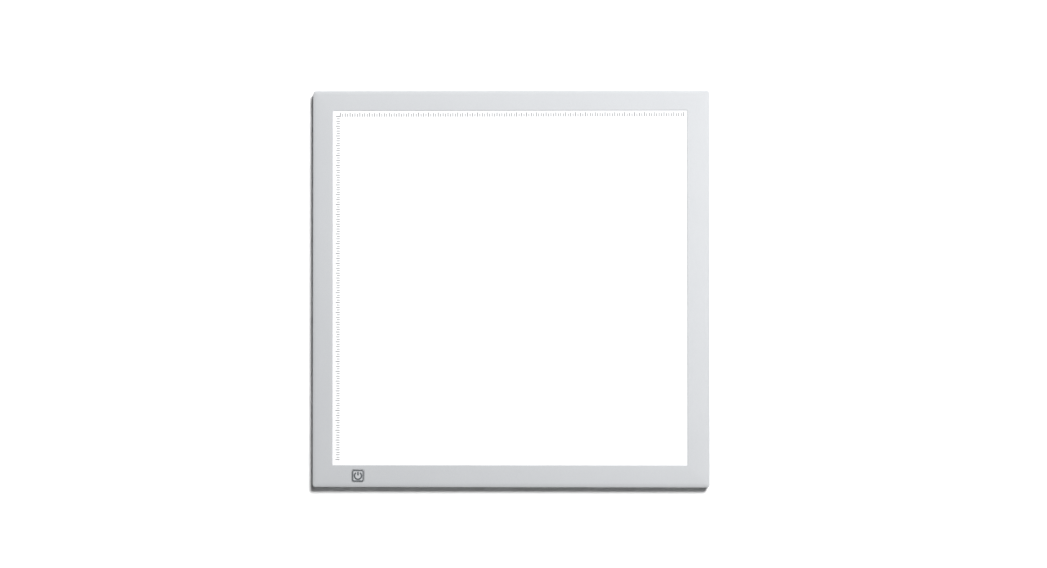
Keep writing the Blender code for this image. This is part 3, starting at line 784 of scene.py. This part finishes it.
def build_key_print(look):
    """The outline round the key's face, and the power sign: an open ring and a bar."""
    low, high = KEY_HIGH.z - 2 * INK, KEY_HIGH.z
    side = KEY_SIDE - 2 * (KEY_ROUND + OUTLINE_MARGIN)
    radius = KEY_RADIUS - KEY_ROUND
    outside = key_outline(side, radius)
    inside = key_outline(side - 2 * OUTLINE_WIDTH, radius - OUTLINE_WIDTH)
    work = bmesh.new()
    add_band(work, outside, inside, low, high)
    start = math.radians(90) + SIGN_OPENING
    end = start + math.tau - 2 * SIGN_OPENING
    add_arc(work, (KEY_X, KEY_Y), SIGN_RADIUS, SIGN_STROKE, start, end, low, high)
    near = (KEY_X - SIGN_STROKE / 2, KEY_Y + SIGN_BAR_START, low)
    far = (KEY_X + SIGN_STROKE / 2, KEY_Y + SIGN_BAR_END, high)
    add_box(work, near, far)
    finish_piece(mesh_object("key_print", work), look, "key")


# Cover, feet and screws -----------------------------------------------------------------------


def add_groove(work, half):
    """A shallow groove in the cover's underside, along a rounded square."""
    inner = half - GROOVE_WIDTH
    outside = rectangle(2 * half, 2 * half, GROOVE_RADIUS)
    inside = rectangle(2 * inner, 2 * inner, GROOVE_RADIUS - GROOVE_WIDTH)
    add_band(work, outside, inside, COVER_LOW.z - COVER_CUTTER, COVER_LOW.z + GROOVE_DEPTH)


def cover_openings():
    """Sunk places for the feet and the screw heads, and two grooves."""
    work = bmesh.new()
    below = COVER_LOW.z - COVER_CUTTER
    head, foot = HEAD_RADIUS + GAP, FOOT_RADIUS + GAP
    for centre in boss_places():
        profile = ((head, below), (head, COVER_LOW.z + HEAD_SINK))
        add_turned(work, profile, centre, HEAD_SINK_STEPS)
    for name in node_names("foot_"):
        add_turned(work, ((foot, below), (foot, FOOT_HEIGHT + GAP)), node_middle(name))
    for half in GROOVE_HALVES:
        add_groove(work, half)
    return work


def cover_pads():
    """Round pads on the cover's inner face, one for each screw."""
    work = bmesh.new()
    profile = ((PAD_RADIUS, COVER_TOP - PAD_ROOT), (PAD_RADIUS, COVER_HIGH.z))
    for centre in boss_places():
        add_turned(work, profile, centre, HEAD_SINK_STEPS)
    return work


def cover_bores():
    work = bmesh.new()
    profile = ((SHANK_BORE, COVER_LOW.z), (SHANK_BORE, COVER_HIGH.z + COVER_CUTTER))
    for centre in boss_places():
        add_turned(work, profile, centre, SHANK_BORE_STEPS)
    return work


def build_cover(look):
    """The flat cover, with a small chamfer round its outer edge."""
    side = COVER_HIGH.x - COVER_LOW.x
    radius = CORNER_RADIUS - WALL
    stages = ((COVER_CHAMFER, COVER_LOW.z), (0, COVER_LOW.z + COVER_CHAMFER), (0, COVER_TOP))
    loops = []
    for inset, z in stages:
        loops.append(at_height(rectangle(side - 2 * inset, side - 2 * inset, radius - inset), z))
    work = bmesh.new()
    add_loft(work, loops)
    cover = mesh_object("cover_plate", work)
    cut(cover, cover_pads(), "UNION")
    cut(cover, cover_openings())
    cut(cover, cover_bores())
    finish_piece(cover, look, "housing", ("back_cover",))


def foot_profile():
    """From the middle of the sole outwards: a ring groove, a rounded rim and the side."""
    inner, outer = SOLE_GROOVE
    profile = [
        (SOLE_CENTRE, 0.0),
        (inner - SOLE_CHAMFER, 0.0),
        (inner, SOLE_CHAMFER),
        (inner, SOLE_GROOVE_DEPTH),
        (outer, SOLE_GROOVE_DEPTH),
        (outer, SOLE_CHAMFER),
        (outer + SOLE_CHAMFER, 0.0),
    ]
    for inward, rise in quarter(FOOT_ROUND, EDGE_STEPS):
        profile.append((FOOT_RADIUS - FOOT_ROUND + rise, inward))
    profile.append((FOOT_RADIUS, FOOT_HEIGHT))
    return profile


def build_feet(look):
    for name in node_names("foot_"):
        work = bmesh.new()
        add_turned(work, foot_profile(), node_middle(name))
        finish_piece(mesh_object(f"{name}_pad", work), look, "housing", (name,))


def cross_outline():
    """A plus sign with its straight edges split into parts, counter-clockwise from +X."""
    reach, half = CROSS_REACH, CROSS_HALF
    corners = [(reach, 0), (reach, half), (half, half), (half, reach)]
    shares = [part / CROSS_PARTS for part in range(CROSS_PARTS)]
    arm = []
    for (x0, y0), (x1, y1) in zip(corners, corners[1:]):
        arm += [(x0 + (x1 - x0) * share, y0 + (y1 - y0) * share) for share in shares]
    arm += [(half * (1 - share), reach) for share in shares]
    points = []
    for turn in range(4):
        for x, y in arm:
            for _ in range(turn):
                x, y = -y, x
            points.append((x, y))
    return points


def screw_loops(shank_length):
    """A pan head with a tapered cross recess, its face at z = 0, and the threaded shank above."""
    cross = cross_outline()
    angles = [math.atan2(y, x) for x, y in cross]

    def ring(radius, z):
        return [(radius * math.cos(a), radius * math.sin(a), z) for a in angles]

    def scaled(share, z):
        return [(x * share, y * share, z) for x, y in cross]

    loops = [scaled(CROSS_FLOOR, CROSS_DEPTH), scaled(1, CROSS_CHAMFER), scaled(CROSS_MOUTH, 0.0)]
    loops.append(ring(HEAD_RADIUS * HEAD_FLAT, 0.0))
    for inward, rise in quarter(HEAD_ROUND, EDGE_STEPS)[::-1]:
        loops.append(ring(HEAD_RADIUS - inward, HEAD_ROUND - rise))
    loops += [ring(HEAD_RADIUS, HEAD_HEIGHT), ring(SHANK_RADIUS, HEAD_HEIGHT)]
    for turn in range(int((shank_length - THREAD_END) / THREAD_PITCH)):
        z = HEAD_HEIGHT + THREAD_START + turn * THREAD_PITCH
        loops += [ring(SHANK_RADIUS * THREAD_ROOT, z), ring(SHANK_RADIUS, z + THREAD_PITCH / 2)]
    loops.append(ring(SHANK_RADIUS / 2, HEAD_HEIGHT + shank_length))
    return loops


def build_screws(look):
    for name in node_names("_screw_"):
        low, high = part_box(name)
        middle = Vector((*node_middle(name), low.z))
        loops = screw_loops(high.z - low.z - HEAD_HEIGHT)
        work = bmesh.new()
        add_loft(work, [[Vector(point) + middle for point in loop] for loop in loops])
        finish_piece(mesh_object(f"{name}_cross", work), look, "housing", (name,))


# DC jack --------------------------------------------------------------------------------------


def build_jack_body(look):
    """The jack's body with chamfered edges and a bore that flares at its mouth."""
    width, height = JACK_HIGH.x - JACK_LOW.x, JACK_HIGH.z - JACK_LOW.z
    front, rear = JACK_HIGH.y, JACK_LOW.y
    stages = (
        (JACK_FRONT_CHAMFER, front),
        (0.0, front - JACK_FRONT_CHAMFER),
        (0.0, rear + JACK_REAR_CHAMFER),
        (JACK_REAR_CHAMFER, rear),
    )
    loops = []
    for inset, y in stages:
        outline = rectangle(width - 2 * inset, height - 2 * inset, JACK_CORNER)
        loops.append(along_y(outline, y))
    work = bmesh.new()
    add_loft(work, loops)
    body = mesh_object("jack_body", work)
    cut(body, jack_bore(front))
    finish_piece(body, look, "housing", ("dc_jack",))


def jack_bore(front):
    stages = (
        (JACK_FRONT_CHAMFER + CUTTER_FRONT, front + CUTTER_FRONT),
        (0.0, front - JACK_FRONT_CHAMFER),
        (0.0, front - JACK_BORE_DEPTH),
    )
    work = bmesh.new()
    add_loft(work, [along_y(circle(JACK_BORE + grow), y) for grow, y in stages])
    return work


def build_jack_pin(look):
    """The jack's pin, with a round tip."""
    low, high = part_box("jack_pin")
    radius = (high.x - low.x) / 2
    loops = [along_y(circle(radius), low.y), along_y(circle(radius), high.y - radius)]
    for inward, rise in quarter(radius, PIN_STEPS)[1:-1]:
        loops.append(along_y(circle(radius - inward), high.y - radius + rise))
    loops.append(along_y(circle(radius * PIN_TIP), high.y))
    work = bmesh.new()
    add_loft(work, loops)
    finish_piece(mesh_object("jack_contact", work), look, "housing", ("jack_pin",))


# Pieces that keep their CAD meshes ------------------------------------------------------------


def dress_nodes(looks):
    """A material for each piece inside the housing."""
    choices = {
        "foam": ("panel_gasket",),
        "film": ("diffuser_film", "reflector_film"),
        "guide": ("light_guide",),
        "strip": ("left_led_strip", "right_led_strip"),
        "aluminium": ("left_heat_rail", "right_heat_rail"),
        "black": ("switch_plunger", "tact_switch"),
        "board": ("control_board",),
        "nylon": ("power_plug", "left_strip_plug", "right_strip_plug"),
        "red": ("jack_lead_red", "left_lead_red", "right_lead_red"),
        "dark": ("jack_lead_black", "left_lead_black", "right_lead_black"),
    }
    for look, names in choices.items():
        for name in names:
            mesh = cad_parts[name].data
            mesh.materials.clear()
            mesh.materials.append(looks[look])


# Floor, light and camera ----------------------------------------------------------------------


def build_floor():
    """A plain pale floor whose edge is far away from the pad."""
    made, tree, shader = new_material("pale_floor")
    grain = noise(tree, size=0.004, detail=3.0)
    colour = blend_colours(tree, grain, (0.90, 0.90, 0.90), (0.93, 0.93, 0.93))
    roughness = spread(tree, grain, 0.85, 0.95)
    connect(tree, shader, Base_Color=colour, Roughness=roughness, Specular_IOR_Level=0.0)
    work = bmesh.new()
    outline = rectangle(FLOOR_SIDE, FLOOR_SIDE, FLOOR_RADIUS)
    work.faces.new([work.verts.new(point) for point in at_height(outline, 0.0)])
    floor = mesh_object("floor", work)
    floor.data.materials.append(made)


def build_key_light():
    """A round soft light from the rear right, high enough to leave a narrow shadow."""
    elevation, azimuth, distance = math.radians(52.5), math.radians(58), 3.0
    data = bpy.data.lights.new("key_light", "AREA")
    data.shape = "DISK"
    data.size = 1.25
    data.energy = 178
    light = bpy.data.objects.new("key_light", data)
    flat = math.cos(elevation)
    away = Vector((flat * math.cos(azimuth), flat * math.sin(azimuth), math.sin(elevation)))
    light.location = away * distance
    light.rotation_euler = away.to_track_quat("Z", "Y").to_euler()
    light.visible_glossy = False
    bpy.context.scene.collection.objects.link(light)


def build_overhead_box():
    """A dim soft box high up on the right, for the paint to reflect."""
    data = bpy.data.lights.new("overhead_box", "AREA")
    data.shape = "DISK"
    data.size = 1.0
    data.energy = 3.6
    light = bpy.data.objects.new("overhead_box", data)
    light.location = (0.62, 0.05, 2.45)
    light.rotation_euler = light.location.to_track_quat("Z", "Y").to_euler()
    bpy.context.scene.collection.objects.link(light)


def build_sky():
    """Dim overhead, so that the shadow stays dark, and pale towards the horizon."""
    world = bpy.data.worlds.new("studio")
    bpy.context.scene.world = world
    world.use_nodes = True
    tree = world.node_tree
    background = tree.nodes["Background"]
    places = add(tree, "ShaderNodeTexCoord").outputs["Generated"]
    height = add(tree, "ShaderNodeSeparateXYZ", {"Vector": places}).outputs["Z"]
    rise = spread(tree, height, 0.0, 1.0, 0.05, 0.40)
    colour = blend_colours(tree, rise, (0.70, 0.71, 0.72), (0.03, 0.031, 0.032))
    tree.links.new(colour, background.inputs["Color"])


def build_camera():
    """Almost straight above the pad, as far away as a photographer would stand."""
    data = bpy.data.cameras.new("camera")
    data.lens = 67.5
    data.sensor_width = 36.0
    camera = bpy.data.objects.new("camera", data)
    place, aim = Vector((0.0472, -0.0207, 2.0077)), Vector((0.0128, 0.0047, TOP))
    back = (place - aim).normalized()
    right = Vector((0, 1, 0)).cross(back).normalized()
    camera.matrix_world = Matrix((right, back.cross(right), back)).transposed().to_4x4()
    camera.location = place
    bpy.context.scene.collection.objects.link(camera)
    bpy.context.scene.camera = camera


def main():
    looks = make_materials()
    build_frame(looks["silver"])
    build_panel(looks["opal"])
    build_rulers(looks["ruler_ink"])
    build_key(looks["silver"])
    build_key_print(looks["key_ink"])
    build_cover(looks["cover"])
    build_feet(looks["rubber"])
    build_screws(looks["zinc"])
    build_jack_body(looks["black"])
    build_jack_pin(looks["brass"])
    dress_nodes(looks)
    build_floor()
    build_key_light()
    build_overhead_box()
    build_sky()
    build_camera()
    bpy.context.scene.view_settings.view_transform = "Standard"


main()
